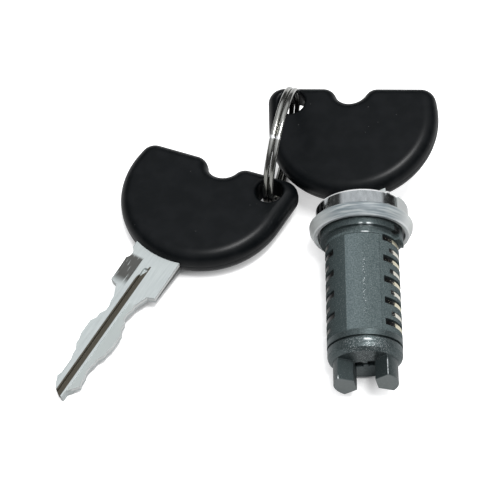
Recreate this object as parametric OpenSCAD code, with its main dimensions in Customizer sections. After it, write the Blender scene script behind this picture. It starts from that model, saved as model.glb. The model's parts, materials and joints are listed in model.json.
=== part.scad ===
/* [Plug] */
// Radius of the plug's long body, which turns in the housing
body_r = 7.75; // [7.4:0.05:8.2]
// Length of the body from the collar to the tail groove
body_len = 24.5; // [24:0.1:28]
// Radius of the collar in front of the body
collar_r = 8.7; // [8.4:0.1:8.9]
// Length of the collar under the seal ring
collar_len = 4.4; // [3.8:0.1:5.5]
// How far the flange under the face cap stands out from the collar
flange_step = 0.35; // [0.2:0.05:0.6]
// Thickness of the flange under the face cap
flange_len = 3; // [1.8:0.1:3.5]
// Width of the groove between the body and the tail drum
groove_w = 0.5; // [0.4:0.1:1.5]
// Depth of the groove
groove_deep = 0.65; // [0.3:0.05:1]
// Radius of the tail drum
drum_r = 7.7; // [7.3:0.05:8]
// Length of the drum's straight stretch
drum_len = 1.4; // [1:0.1:3]
// Length of the drum's rounded nose
nose_len = 1.3; // [1:0.1:2.5]
// How much the nose narrows
nose_step = 1; // [0.4:0.1:1]
// Depth of the shallow panel cast into the front of the body
panel_deep = 0.15; // [0.1:0.05:0.3]
// Angle from the front line to the panel's left edge
panel_left = 19; // [15:1:30]
// Angle from the front line to the panel's right edge
panel_right = 36; // [20:1:36]
// Distance from the collar to the panel
panel_head = 1.5; // [1:0.1:4]
// Distance from the tail end of the body to the panel
panel_tail = 1.4; // [1:0.1:4]
// Width of the notch in the collar beside the stop lug, as an angle
notch_angle = 7; // [5:1:12]
// Depth of the notch in the collar
notch_deep = 0.9; // [0.5:0.05:0.9]
// Angle from the front line to the start of the stop lug
lug_start = 72; // [65:1:90]
// Angle that the stop lug covers
lug_angle = 26; // [15:1:35]
// How far the stop lug reaches down the body
lug_len = 1.5; // [0.8:0.1:1.6]
// How far the stop lug stands out from the collar
lug_proud = 0.1; // [0.05:0.05:0.3]

/* [Tail prongs] */
// Length of the two driving prongs
prong_len = 4.5; // [3:0.1:8]
// Radius of the prongs' outer faces
prong_r = 6.6; // [6:0.1:6.7]
// Gap between the prongs
prong_gap = 4.4; // [3:0.1:5.5]
// Angle from the front line to each prong's ridge
prong_ridge = 50; // [40:1:60]
// Height of a prong at the gap
prong_in_h = 4.6; // [3:0.1:6]

/* [Wafers] */
// Distance between neighbouring wafers
wafer_pitch = 2.39; // [2.3:0.01:2.45]
// Distance from the collar to the first wafer
wafer_first = 2.3; // [2.3:0.1:3.2]
// Thickness of a wafer
wafer_t = 0.9; // [0.7:0.05:1]
// Height of a wafer between its two flat edges
wafer_h = 8.9; // [8.4:0.1:9]
// Running clearance of a wafer in its slot, on each side
wafer_gap = 0.05; // [0.02:0.01:0.08]
// How far a wafer's round ends lie under the body's surface
wafer_sink = 0.07; // [0.05:0.01:0.2]
// Clearance of a wafer's window round the blade
window_gap = 0.2; // [0.1:0.05:0.3]
// Travel of a wafer when the key is out
wafer_travel = 0.9; // [0.5:0.1:1.2]
// Height of the spring lug above a wafer's flat edge
wafer_lug_h = 1.15; // [1:0.05:1.2]
// Distance from the middle to the inner face of the spring lug
wafer_lug_x = 4.3; // [4:0.1:4.6]
// Clearance over the spring lug
lug_gap = 0.15; // [0.05:0.05:0.2]
// Extra width of the spring opening, on the key's side
opening_extra = 0.45; // [0.3:0.05:0.5]
// Depth of the spring opening beside a wafer's end
opening_deep = 2.3; // [1.5:0.1:2.6]
// Outer diameter of a wafer spring
spring_d = 1.1; // [0.9:0.05:1.15]
// Thickness of the spring wire
spring_wire = 0.25; // [0.2:0.05:0.3]
// Length of a wafer spring with the key in
spring_len = 3.55; // [3:0.05:3.8]
// Number of turns in a wafer spring
spring_turns = 4; // [3:1:5]

/* [Face cap and seal] */
// Thickness of the pressed cap
cap_wall = 0.45; // [0.35:0.05:0.6]
// Clearance between the cap and the flange
cap_fit = 0.05; // [0.02:0.01:0.08]
// Radius of the cap's rolled rim
cap_round = 0.4; // [0.2:0.05:0.4]
// Angle from the front line to the cap's seam
seam_at = 8; // [0:1:40]
// Width of the seam, as an angle
seam_angle = 1; // [0.5:0.5:2]
// Angle from the front line to the nearest stake of the cap
stake_at = 45; // [40:1:50]
// Largest radius of the rubber seal ring
seal_r = 11; // [10.6:0.1:11.2]
// Distance from the collar's end to the seal's widest line
seal_wide = 3.7; // [3.4:0.1:3.9]
// Distance from the collar's end to the seal's lip
seal_lip = 1.3; // [0.5:0.1:1.5]
// Radius of the seal's lip
seal_lip_r = 10.2; // [10:0.05:10.3]
// Wall of the seal's lip
seal_wall = 0.9; // [0.7:0.05:1]
// Distance from the collar's end to the root of the seal's skirt
seal_root = 2.5; // [2:0.1:3]
// Rounding of the seal's edges
seal_round = 0.2; // [0.1:0.05:0.3]
// Angle from the front line to the start of the tab beside the cap
tab_start = 60; // [50:1:80]
// Angle that the tab covers
tab_angle = 40; // [20:1:60]
// Wall of the tab
tab_wall = 0.45; // [0.3:0.05:0.6]

/* [Key blade] */
// Thickness of the blade
blade_t = 2.2; // [2:0.05:2.4]
// Width of the blade's shoulders
shoulder_w = 11.2; // [10.6:0.1:11.4]
// How far the shoulders reach from the cap's face into the lock
shoulder_in = 6.2; // [5.5:0.1:6.8]
// Widest land between the cuts
land_w = 7.8; // [7.2:0.1:7.9]
// Length of the blade from the shoulders to the tip
blade_len = 28.5; // [26:0.1:29.5]
// Width of the tip
tip_w = 2.2; // [1.5:0.1:3]
// Distance from the last cut to the start of the tip's taper
tip_from = 1.6; // [1:0.1:2]
// Depth of one step of the cuts
cut_step = 0.4; // [0.3:0.05:0.42]
// Cut numbers on the side of the ring hole, from the bow to the tip
cuts_hole_side = [3, 4, 2, 0, 0, 1, 3, 4, 3];
// Cut numbers on the far side, from the bow to the tip
cuts_far_side = [3, 4, 2, 0, 0, 1, 3, 4, 4];
// Length of the flat at each cut
cut_flat = 1.1; // [0.8:0.1:1.5]
// Width of the middle groove
groove_blade_w = 1.1; // [0.9:0.05:1.3]
// Depth of the middle groove on each face
groove_blade_deep = 0.75; // [0.5:0.05:0.8]
// How far the middle groove runs past the shoulders' edge towards the bow
groove_past = 5; // [3:0.1:6]
// Distance from the middle to the side ward
ward_x = 1.9; // [1.5:0.1:2.2]
// Depth of the side ward
ward_deep = 0.5; // [0.3:0.05:0.5]
// How far the side ward's floor runs past the shoulders' edge
ward_past = 1.9; // [0:0.1:2.5]
// Depth of the shallow ward on the other side
ward_light = 0.22; // [0.1:0.02:0.25]
// Distance from the middle to the shallow ward
ward_light_x = 1.3; // [1:0.1:1.6]
// How far before the shoulders' edge the shallow ward's floor ends
ward_light_before = 6.3; // [5:0.1:10]
// Radius of the cutter that leaves the wards' curved ends
cutter_r = 35; // [20:1:45]
// Radius of the nick in the blade's far shoulder
nick_r = 1.5; // [1:0.1:2]
// Distance from the shoulders' edge to the nick
nick_up = 7.4; // [5:0.1:9]
// Clearance of the blade's faces in the keyway
key_gap = 0.1; // [0.06:0.01:0.15]
// Clearance of the blade's edges in the keyway
edge_gap = 0.4; // [0.2:0.05:0.5]
// Clearance of the shoulders in the mouth of the keyway
mouth_gap = 0.3; // [0.2:0.05:0.4]
// How far the mouth is deeper than the shoulders reach
mouth_extra = 1.2; // [0.5:0.1:1.5]

/* [Key bow] */
// Thickness of the moulded bow
bow_t = 7; // [6:0.1:8]
// Radius of the bow's round lower side
bow_r = 18.7; // [17:0.1:20]
// Clear distance between the cap's face and the bow
bow_gap = 3; // [1:0.05:4]
// How far the bow's middle lies off the blade's, towards the ring hole
bow_off = 1; // [0:0.1:3]
// Radius of the two upper corners
corner_r = 3.5; // [3.1:0.1:5]
// Height of the corner by the ring hole above the bow's middle
corner_hole_up = 7.2; // [5:0.1:8]
// Height of the far corner above the bow's middle
corner_far_up = 2.8; // [2.5:0.1:5]
// Distance from the bow's middle to the corner by the ring hole
corner_hole_x = 15.4; // [14:0.1:16]
// Distance from the bow's middle to the far corner
corner_far_x = 15; // [14:0.1:16]
// Radius of the notch in the top edge
notch_r = 3.7; // [3:0.1:5]
// Height of the notch's middle above the bow's middle
notch_up = 8.4; // [8:0.1:11]
// Radius of the notch's two shoulders
shoulder_r = 3.1; // [3.05:0.05:4]
// Radius of the bow's rounded rim
rim_r = 3; // [2:0.1:3]
// Diameter of the ring hole
hole_d = 5.8; // [5.4:0.1:6.5]
// Size of the slope at each mouth of the ring hole
hole_lip = 0.8; // [0.2:0.1:1]
// Distance from the blade's middle to the ring hole
hole_x = 14.2; // [13:0.1:15]
// Height of the ring hole above the bow's middle
hole_up = 5.8; // [4:0.1:6.5]
// Clearance of the blade's tang in the bow
tang_fit = 0.02; // [0.01:0.01:0.05]
// Width of the tang inside the bow
tang_w = 9; // [7:0.1:10]
// Length of the tang inside the bow
tang_len = 13; // [10:0.5:18]

/* [Split ring] */
// Radius of the ring to the middle of its wire
ring_r = 12.4; // [11:0.1:13]
// Thickness of the ring's wire across the coil
ring_t = 1.2; // [1:0.1:1.6]
// How far the middle of the key's ring hole lies inside the middle line of the wire
key_sag = 0.3; // [0.1:0.05:0.6]
// How far the middle of the spare key's ring hole lies inside the middle line of the wire
spare_sag = 0.6; // [0.5:0.05:1]
// Width of each of the two coils
ring_w = 1.1; // [0.9:0.05:1.2]
// Gap between the two coils
ring_gap = 0.12; // [0.08:0.01:0.2]
// Angle over which the wire crosses from one coil to the other
ring_cross = 12; // [8:1:25]
// How far each end of the crossing reaches into its coil, as an angle
cross_in = 0.5; // [0.2:0.1:1]
// Width of the crossing's section as a share of the wire's
cross_share = 0.94; // [0.85:0.01:0.98]
// Where the wire crosses over, as an angle from the ring's lowest point
ring_split = 150; // [100:5:170]

/* [How the set lies] */
// Roll of the lock about its own axis, hole side down
roll = 12.5; // [0:0.5:14]
// Heading of the split ring, from the lock's key to the spare key
ring_heading = 194; // [190:0.5:205]
// Heading of the spare key's blade, from its tip to its bow
spare_heading = -30.5; // [-35:0.5:-25]
// Height of the ring hole of the spare key above the surface
spare_hole_h = 6.4; // [6:0.1:8.5]
// Rise of the spare key across its width, towards its ring hole
spare_rise = 4; // [2:0.1:9]
// Rise of the spare key along its length, towards its bow
spare_climb = 3.8; // [2:0.1:7]
// Where the lock's collar end stands, to the right of the set's middle
set_x = 22.82; // [15:0.01:30]
// Where the lock's collar end stands, behind the set's middle
set_y = -3.9; // [-10:0.01:10]

/* [Hidden] */
$fn = 72;
// A cut goes this far past the face that it opens
past = 0.5;
// A section that only starts or ends a form is this thick
seam = 0.02;
wafer_n = 9;
flange_r = collar_r + flange_step;
front_y = collar_len + flange_len;
cap_face_y = front_y + cap_wall;
cap_in_r = flange_r + cap_fit;
cap_r = cap_in_r + cap_wall;
groove_r = drum_r - groove_deep;
drum_y = -body_len - groove_w;
nose_y = drum_y - drum_len;
tail_y = nose_y - nose_len;
prong_y = tail_y - prong_len;
// Keyway
keyway_half_t = blade_t / 2 + key_gap;
keyway_half_w = land_w / 2 + edge_gap;
mouth_half_t = blade_t / 2 + mouth_gap;
mouth_half_w = shoulder_w / 2 + mouth_gap;
shoulder_y = cap_face_y - shoulder_in;
mouth_end_y = shoulder_y - mouth_extra;
// Wafers
wafer_r = body_r - wafer_sink;
slot_half = wafer_t / 2 + wafer_gap;
slot_half_h = wafer_h / 2 + wafer_gap;
window_half_h = keyway_half_t + window_gap;
window_half_w = land_w / 2 + wafer_travel / 2 + window_gap;
opening_top = wafer_h / 2 + wafer_lug_h + lug_gap;
spring_z = (slot_half_h + opening_top) / 2;
spring_end_x = wafer_lug_x - wafer_gap;
spring_floor_x = spring_end_x - spring_len;
spring_y = opening_extra / 2;
// Key
bow_y = cap_face_y + bow_gap + bow_r;
cut_n = len(cuts_far_side);
tip_y = shoulder_y - blade_len;
tang_y = bow_y - bow_r + tang_len;
// The shoulders end just inside the bow's rounded rim
tang_foot_y = bow_y - bow_r + rim_r;
// Resting angles, worked out from the two circles that the lock rests on
lie_pitch = atan((seal_r - drum_r) / (seal_wide - nose_y));
lock_h = seal_r * cos(lie_pitch) - seal_wide * sin(lie_pitch);
// Split ring and spare key
ring_h = ring_r + ring_t / 2;
key_hole = [-hole_x, bow_y + hole_up, 0];
hole_at = lying(key_hole);
drop_1 = ring_h - hole_at[2];
drop_2 = ring_h - spare_hole_h;
ring_dir = [sin(ring_heading), cos(ring_heading), 0];
ring_mid = hole_at + sqrt(pow(ring_r - key_sag, 2) - drop_1 * drop_1) * ring_dir + [0, 0, drop_1];
spare_hole_at = ring_mid + sqrt(pow(ring_r - spare_sag, 2) - drop_2 * drop_2) * ring_dir - [0, 0, drop_2];

// Where a point given in the lock's own frame lies in the set's frame
function lying(p) =
    let (
        x1 = p[0] * cos(roll) - p[2] * sin(roll),
        z1 = p[0] * sin(roll) + p[2] * cos(roll)
    )
    [
        set_x + x1,
        set_y + p[1] * cos(lie_pitch) - z1 * sin(lie_pitch),
        lock_h + p[1] * sin(lie_pitch) + z1 * cos(lie_pitch)
    ];

// Along the lock: y runs to the key, z to the front line, and y = 0 is the collar's end on the body
function wafer_y(k) = -wafer_first - wafer_pitch * (k - 1);
// Odd wafers spring out to the right, even ones to the left
function wafer_side(k) = k % 2 == 1 ? 1 : -1;

// Puts the lock's own frame where the lock lies
module in_lock() {
    translate([set_x, set_y, lock_h])
        rotate([lie_pitch, 0, 0])
            rotate([0, -roll, 0])
                children();
}

// Puts a key modelled in the lock's frame where the spare key lies, with its other face up
module in_spare() {
    translate(spare_hole_at)
        rotate([0, 0, spare_heading])
            rotate([spare_climb, -spare_rise, 0])
                rotate([0, 180, 0])
                    translate(-key_hole)
                        children();
}

// A turned shape about the lock's axis, drawn as radius and distance along y
module turned(from = 0, angle = 360) {
    rotate([-90, 0, 0])
        rotate([0, 0, from - 90])
            rotate_extrude(angle = angle)
                children();
}

// A flat shape in x and z, made thick from y to y + t
module across(y, t) {
    translate([0, y + t, 0])
        rotate([90, 0, 0])
            linear_extrude(t)
                children();
}

// Plug: turned outline, keyway, wafer slots, panel, stop lug and prongs
module plug_outline() {
    polygon([
        [0, tail_y], [drum_r - nose_step, tail_y], [drum_r - nose_step / 4, tail_y + nose_len / 2],
        [drum_r, nose_y], [drum_r, drum_y], [groove_r, drum_y], [groove_r, -body_len],
        [body_r, -body_len], [body_r, 0], [collar_r, 0], [collar_r, collar_len],
        [flange_r, collar_len], [flange_r, front_y], [0, front_y]
    ]);
}

module prongs() {
    // Each flank rises from the gap to a ridge on the outer face and is drawn on past it
    foot = [prong_gap / 2, prong_in_h / 2];
    ridge = [prong_r * sin(prong_ridge), prong_r * cos(prong_ridge)];
    beyond = foot + 2 * (ridge - foot);
    across(prong_y, prong_len + past)
        intersection() {
            circle(prong_r);
            for (side = [-1, 1])
                polygon([
                    [side * foot[0], -foot[1]], [side * foot[0], foot[1]],
                    [side * beyond[0], beyond[1]], [side * beyond[0], -beyond[1]]
                ]);
        }
}

// Blade's section with a clearance all round, which is the keyway's section
module keyway_section() {
    web = blade_t / 2 - groove_blade_deep + key_gap;
    ward = blade_t / 2 - ward_deep + key_gap;
    difference() {
        square([2 * keyway_half_w, 2 * keyway_half_t], center = true);
        for (turn = [0, 180])
            rotate(turn) {
                translate([key_gap - groove_blade_w / 2, web])
                    square([groove_blade_w - 2 * key_gap, blade_t]);
                translate([-2 * keyway_half_w - ward_x - key_gap, ward])
                    square([2 * keyway_half_w, blade_t]);
            }
    }
}

module wafer_slots() {
    for (k = [1 : wafer_n]) {
        side = wafer_side(k);
        y = wafer_y(k);
        open_w = 2 * slot_half + opening_extra;
        translate([0, y, 0])
            cube([2 * (body_r + past), 2 * slot_half, 2 * slot_half_h], center = true);
        translate([0, y - slot_half, 0])
            mirror([side < 0 ? 1 : 0, 0, 0]) {
                translate([body_r - opening_deep, 0, -slot_half_h])
                    cube([opening_deep + past, open_w, slot_half_h + opening_top]);
                translate([spring_floor_x, 0, slot_half_h - past])
                    cube([body_r + past - spring_floor_x, open_w, opening_top - slot_half_h + past]);
            }
    }
}

module plug() {
    color([0.31, 0.36, 0.38])
        in_lock() {
            difference() {
                union() {
                    difference() {
                        turned() plug_outline();
                        turned(lug_start - notch_angle, notch_angle + lug_angle / 2)
                            square_from(collar_r - notch_deep, -past, collar_r + past, seal_lip);
                        across(tail_y - past, mouth_end_y - tail_y + 2 * past) keyway_section();
                    }
                    prongs();
                    turned(lug_start, lug_angle)
                        square_from(body_r - past, -lug_len, collar_r + lug_proud, seal_lip);
                }
                translate([-mouth_half_w, mouth_end_y, -mouth_half_t])
                    cube([2 * mouth_half_w, front_y - mouth_end_y + past, 2 * mouth_half_t]);
                wafer_slots();
                turned(-panel_left, panel_left + panel_right)
                    square_from(body_r - panel_deep, panel_tail - body_len, body_r + past, -panel_head);
            }
        }
}

// Face cap: a pressed cup with a slot for the key, a seam, four stakes and an index nib
module face_cap() {
    color([0.82, 0.83, 0.84])
        in_lock() {
            difference() {
                union() {
                    turned() cap_outline();
                    for (turn = [0 : 90 : 270])
                        rotate([0, stake_at + turn, 0])
                            translate([0, collar_len + cap_wall, cap_r - cap_wall / 2])
                                sphere(cap_wall, $fn = 20);
                    rotate([0, stake_at, 0])
                        translate([-cap_wall, cap_face_y - 2 * cap_wall, cap_r - cap_wall / 2])
                            cube([2 * cap_wall, 2 * cap_wall, cap_wall]);
                }
                turned() square_from(0, collar_len - past, cap_in_r, front_y);
                translate([-mouth_half_w, front_y - past, -mouth_half_t])
                    cube([2 * mouth_half_w, cap_wall + 2 * past, 2 * mouth_half_t]);
                turned(seam_at, seam_angle)
                    square_from(cap_r - cap_wall / 3, collar_len - past, cap_r + past, front_y);
            }
        }
}

module cap_outline() {
    square_from(0, collar_len, cap_r - cap_round, cap_face_y);
    square_from(0, collar_len, cap_r, cap_face_y - cap_round);
    translate([cap_r - cap_round, cap_face_y - cap_round]) circle(cap_round);
}

// Rectangle between two corners
module square_from(x0, y0, x1, y1) {
    translate([x0, y0]) square([x1 - x0, y1 - y0]);
}

// Seal ring: rubber ring on the collar with a skirt that flares and then tapers to its lip
module seal_ring() {
    color([0.86, 0.88, 0.88])
        in_lock() {
            turned()
                polygon([
                    [collar_r, collar_len], [cap_r + seal_round, collar_len],
                    [seal_r - 2 * seal_round, collar_len - seal_round], [seal_r, seal_wide],
                    [seal_r - seal_round / 2, seal_wide - seal_wall], [seal_lip_r, seal_lip + seal_round],
                    [seal_lip_r - seal_round, seal_lip], [seal_lip_r - seal_wall, seal_lip + seal_round / 2],
                    [seal_r - 2 * seal_wall, seal_root], [collar_r, seal_root]
                ]);
            turned(tab_start, tab_angle)
                square_from(cap_r + cap_fit, collar_len - past, cap_r + cap_fit + tab_wall, front_y);
        }
}

// Wafer: a plate with round ends, a window for the blade and a lug for its spring
module wafer(k) {
    side = wafer_side(k);
    color(k % 2 == 1 ? [0.80, 0.74, 0.55] : [0.78, 0.78, 0.76])
        in_lock()
            across(wafer_y(k) - wafer_t / 2, wafer_t)
                difference() {
                    intersection() {
                        circle(wafer_r);
                        union() {
                            square([2 * body_r, wafer_h], center = true);
                            translate([side > 0 ? wafer_lug_x : -wafer_lug_x - body_r, 0])
                                square([body_r, wafer_h / 2 + wafer_lug_h]);
                        }
                    }
                    square([2 * window_half_w, 2 * window_half_h], center = true);
                }
}

// Wafer spring: a helix of round wire about a line across the plug
module wafer_spring(k) {
    side = wafer_side(k);
    color([0.72, 0.73, 0.74])
        in_lock()
            translate([side * spring_floor_x, wafer_y(k) + spring_y, spring_z])
                rotate([0, side * 90, 0])
                    helix((spring_d - spring_wire) / 2, spring_wire / 2, spring_len, spring_turns);
}

// Round wire of radius wire_r swept along a helix about z, of radius coil_r and overall height h
module helix(coil_r, wire_r, h, turns) {
    sides = 6;
    steps = 9 * turns;
    lift = (h - 2 * wire_r) / steps;
    ring_points = [
        for (i = [0 : steps], j = [0 : sides - 1])
            let (a = 360 * turns * i / steps, b = 360 * j / sides, r = coil_r + wire_r * cos(b))
            [r * cos(a), r * sin(a), wire_r + i * lift + wire_r * sin(b)]
    ];
    wall = [
        for (i = [0 : steps - 1], j = [0 : sides - 1])
            let (next = (j + 1) % sides)
            [i * sides + j, (i + 1) * sides + j, (i + 1) * sides + next, i * sides + next]
    ];
    first = [for (j = [0 : sides - 1]) j];
    last = [for (j = [sides - 1 : -1 : 0]) steps * sides + j];
    polyhedron(ring_points, concat(wall, [first, last]));
}

// Half width of the blade at cut number c
function cut_half(c) = land_w / 2 - cut_step * c;

// One side of the blade's outline, from the shoulders to the tip
function side_points(cuts, side) = [
    for (k = [1 : cut_n], end = [1, -1])
        [side * cut_half(cuts[k - 1]), wafer_y(k) + end * cut_flat / 2]
];

module blade_outline() {
    tip_land = wafer_y(cut_n) - tip_from;
    polygon(concat(
        [
            [shoulder_w / 2, tang_foot_y], [shoulder_w / 2, shoulder_y],
            [land_w / 2, shoulder_y - cut_flat / 2]
        ],
        side_points(cuts_far_side, 1),
        [
            [cut_half(3), tip_land], [tip_w / 2, tip_y + cut_flat], [0, tip_y + cut_flat / 4],
            [-tip_w / 2, tip_y], [-tip_w / 2, tip_y + 1.5 * cut_flat], [-cut_half(2), tip_land]
        ],
        [for (i = [2 * cut_n - 1 : -1 : 0]) side_points(cuts_hole_side, -1)[i]],
        [
            [-land_w / 2, shoulder_y - cut_flat / 2], [-shoulder_w / 2, shoulder_y],
            [-shoulder_w / 2, tang_foot_y], [-tang_w / 2, tang_foot_y], [-tang_w / 2, tang_y],
            [tang_w / 2, tang_y], [tang_w / 2, tang_foot_y]
        ]
    ));
}

// A ward milled into the front face beyond x, with the cutter's curved run-out at its end
module ward(x, deep, end_y) {
    floor_z = blade_t / 2 - deep;
    translate([x, tip_y - past, floor_z])
        cube([shoulder_w, end_y - tip_y + past, blade_t]);
    translate([x, end_y, floor_z + cutter_r])
        rotate([0, 90, 0])
            cylinder(r = cutter_r, h = shoulder_w, $fn = 180);
}

module blade_cuts() {
    for (turn = [0, 180])
        rotate([0, turn, 0]) {
            translate([-groove_blade_w / 2, tip_y - past, blade_t / 2 - groove_blade_deep])
                cube([groove_blade_w, shoulder_y + groove_past - tip_y + past, blade_t]);
            translate([0, shoulder_y + groove_past, blade_t / 2 - groove_blade_deep])
                cylinder(d = groove_blade_w, h = blade_t);
            mirror([1, 0, 0]) ward(ward_x, ward_deep, shoulder_y + ward_past);
            ward(ward_light_x, ward_light, shoulder_y - ward_light_before);
        }
}

module blade() {
    difference() {
        translate([0, 0, -blade_t / 2])
            linear_extrude(blade_t)
                blade_outline();
        blade_cuts();
        translate([shoulder_w / 2 + nick_r / 2, shoulder_y + nick_up, -blade_t])
            cylinder(r = nick_r, h = 2 * blade_t);
    }
}

// Points on an arc about c, from angle a0 to a1
function arc(c, r, a0, a1, steps) = [
    for (i = [0 : steps])
        let (a = a0 + (a1 - a0) * i / steps)
        c + r * [cos(a), sin(a)]
];

// Direction of a vector, as an angle
function heading(v) = atan2(v[1], v[0]);

// Angle of the line that touches the bow's big circle and a corner circle, seen from the centre
function touch_angle(corner, side) = heading(corner) + side * acos((bow_r - corner_r) / norm(corner));

// Bow's outline about the bow's middle, drawn in by inset: arcs that meet tangentially
function bow_outline(inset) =
    let (
        corner_hole = [-corner_hole_x, corner_hole_up],
        corner_far = [corner_far_x, corner_far_up],
        top_angle = heading(corner_hole - corner_far) - 90,
        up = [cos(top_angle), sin(top_angle)],
        along = [up[1], -up[0]],
        notch = [0, notch_up],
        notch_over = (notch - corner_far) * up - corner_r,
        reach = sqrt(pow(notch_r + shoulder_r, 2) - pow(notch_over + shoulder_r, 2)),
        foot = notch - (notch_over + shoulder_r) * up,
        shoulder_far = foot + reach * along,
        shoulder_hole = foot - reach * along
    )
    concat(
        arc([0, 0], bow_r - inset, touch_angle(corner_hole, 1), 360 + touch_angle(corner_far, -1), 32),
        arc(corner_far, corner_r - inset, touch_angle(corner_far, -1), top_angle, 8),
        arc(shoulder_far, shoulder_r - inset, top_angle, heading(notch - shoulder_far), 5),
        arc(notch, notch_r + inset, heading(shoulder_far - notch), heading(shoulder_hole - notch), 10),
        arc(shoulder_hole, shoulder_r - inset, heading(notch - shoulder_hole), top_angle, 5),
        arc(corner_hole, corner_r - inset, top_angle, touch_angle(corner_hole, 1), 8)
    );

// Bow's solid: rings of its outline that follow the rounded rim from one face to the other
module bow_solid() {
    rim_steps = 5;
    levels = concat(
        [for (i = [rim_steps : -1 : 0]) let (a = 90 * i / rim_steps) [rim_r * (1 - cos(a)), -1, sin(a)]],
        [for (i = [0 : rim_steps]) let (a = 90 * i / rim_steps) [rim_r * (1 - cos(a)), 1, sin(a)]]
    );
    n = len(bow_outline(0));
    points = [
        for (level = levels, p = bow_outline(level[0]))
            [p[0] - bow_off, p[1] + bow_y, level[1] * (bow_t / 2 - rim_r + rim_r * level[2])]
    ];
    wall = [
        for (i = [0 : len(levels) - 2], j = [0 : n - 1])
            let (next = (j + 1) % n)
            [i * n + j, (i + 1) * n + j, (i + 1) * n + next, i * n + next]
    ];
    back = [for (j = [0 : n - 1]) j];
    front = [for (j = [n - 1 : -1 : 0]) (len(levels) - 1) * n + j];
    polyhedron(points, concat(wall, [back, front]));
}

// Bow: moulded grip with a rounded rim all round, drilled for the ring and moulded round the tang
module bow() {
    resize([0, 0, bow_t])
        difference() {
            bow_solid();
            translate(key_hole) ring_hole();
            translate([0, 0, -blade_t / 2 - tang_fit])
                linear_extrude(blade_t + 2 * tang_fit)
                    tang_pocket();
        }
}

module ring_hole() {
    cylinder(d = hole_d, h = bow_t + 2 * past, center = true);
    for (turn = [0, 180])
        rotate([turn, 0, 0])
            translate([0, 0, bow_t / 2 - hole_lip])
                cylinder(d1 = hole_d, d2 = hole_d + 2 * (hole_lip + past), h = hole_lip + past);
}

module tang_pocket() {
    polygon([
        [-shoulder_w / 2 - tang_fit, bow_y - bow_r - past], [shoulder_w / 2 + tang_fit, bow_y - bow_r - past],
        [shoulder_w / 2 + tang_fit, tang_foot_y + tang_fit], [tang_w / 2 + tang_fit, tang_foot_y + tang_fit],
        [tang_w / 2 + tang_fit, tang_y + tang_fit], [-tang_w / 2 - tang_fit, tang_y + tang_fit],
        [-tang_w / 2 - tang_fit, tang_foot_y + tang_fit], [-shoulder_w / 2 - tang_fit, tang_foot_y + tang_fit]
    ]);
}

module key_blade() {
    color([0.80, 0.82, 0.82]) in_lock() blade();
}

module key_bow() {
    color([0.09, 0.09, 0.10]) in_lock() bow();
}

module spare_key_blade() {
    color([0.80, 0.82, 0.82]) in_spare() blade();
}

module spare_key_bow() {
    color([0.09, 0.09, 0.10]) in_spare() bow();
}

// Section of the ring's wire, with rounded corners
module wire_section() {
    round_r = ring_w / 3;
    for (sx = [-1, 1], sy = [-1, 1])
        translate([sx * (ring_t / 2 - round_r), sy * (ring_w / 2 - round_r)]) circle(round_r, $fn = 24);
    square([ring_t, ring_w - 2 * round_r], center = true);
    square([ring_t - 2 * round_r, ring_w], center = true);
}

// Split ring: two coils side by side, with the wire crossing over where both ends stop
module split_ring() {
    lift = (ring_w + ring_gap) / 2;
    color([0.78, 0.78, 0.77])
        translate(ring_mid)
            rotate([0, 0, -ring_heading])
                rotate([0, 90, 0]) rotate([0, 0, ring_split]) {
                    for (side = [-1, 1])
                        translate([0, 0, side * lift])
                            rotate([0, 0, ring_cross])
                                rotate_extrude(angle = 360 - 2 * ring_cross, $fn = 120)
                                    translate([ring_r, 0]) wire_section();
                    hull()
                        for (end = [-1, 1])
                            rotate([0, 0, end * (ring_cross + cross_in)])
                                translate([ring_r, 0, end * lift])
                                    rotate([90, 0, 0])
                                        linear_extrude(seam, center = true)
                                            scale(cross_share) wire_section();
                }
}

plug();
face_cap();
seal_ring();
for (k = [1 : wafer_n]) {
    wafer(k);
    wafer_spring(k);
}
key_blade();
key_bow();
spare_key_blade();
spare_key_bow();
split_ring();
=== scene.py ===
"""Ignition lock with its key, and the spare key on the split ring: the looks, the light and the camera."""

import json
import math

import bmesh
import bpy
from mathutils import Euler, Matrix, Vector


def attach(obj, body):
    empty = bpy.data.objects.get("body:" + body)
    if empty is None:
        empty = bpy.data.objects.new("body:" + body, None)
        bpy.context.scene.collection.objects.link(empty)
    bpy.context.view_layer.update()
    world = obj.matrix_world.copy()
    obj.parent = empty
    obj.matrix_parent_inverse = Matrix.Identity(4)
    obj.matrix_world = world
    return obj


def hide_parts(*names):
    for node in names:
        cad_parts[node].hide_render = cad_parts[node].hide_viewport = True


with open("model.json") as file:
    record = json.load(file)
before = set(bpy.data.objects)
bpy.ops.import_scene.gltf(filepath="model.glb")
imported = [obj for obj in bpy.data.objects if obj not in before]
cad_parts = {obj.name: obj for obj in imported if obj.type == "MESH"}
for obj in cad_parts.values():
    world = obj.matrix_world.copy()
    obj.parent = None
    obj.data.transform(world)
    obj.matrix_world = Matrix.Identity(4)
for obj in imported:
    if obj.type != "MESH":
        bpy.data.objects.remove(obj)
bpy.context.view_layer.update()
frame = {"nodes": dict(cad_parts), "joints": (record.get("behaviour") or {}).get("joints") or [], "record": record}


# The way the lock and the spare key lie
# The lock's own frame has x to the right, y along the lock to the key, and z out of the front line.
# The spare key has the same frame, from its blade and bow, where its ring hole and its three angles put it.
MM = 0.001
joints = {joint["name"]: joint for joint in frame["joints"]}
mounts = {mount["name"]: mount for mount in frame["record"]["mounts"]}
prong_y = -32.2 * MM
lock_x = Vector(joints["wafer_1_slide"]["axis"]).normalized()
lock_y = Vector(joints["key_draw"]["axis"]).normalized()
lock_z = lock_x.cross(lock_y)
lock_at = Vector(mounts["tail_prongs"]["pos_m"]) - prong_y * lock_y
lock_frame = Matrix.Translation(lock_at) @ Matrix((lock_x, lock_y, lock_z)).transposed().to_4x4()
bow_middle = Vector((-1.0, 29.55, 0)) * MM
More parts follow.
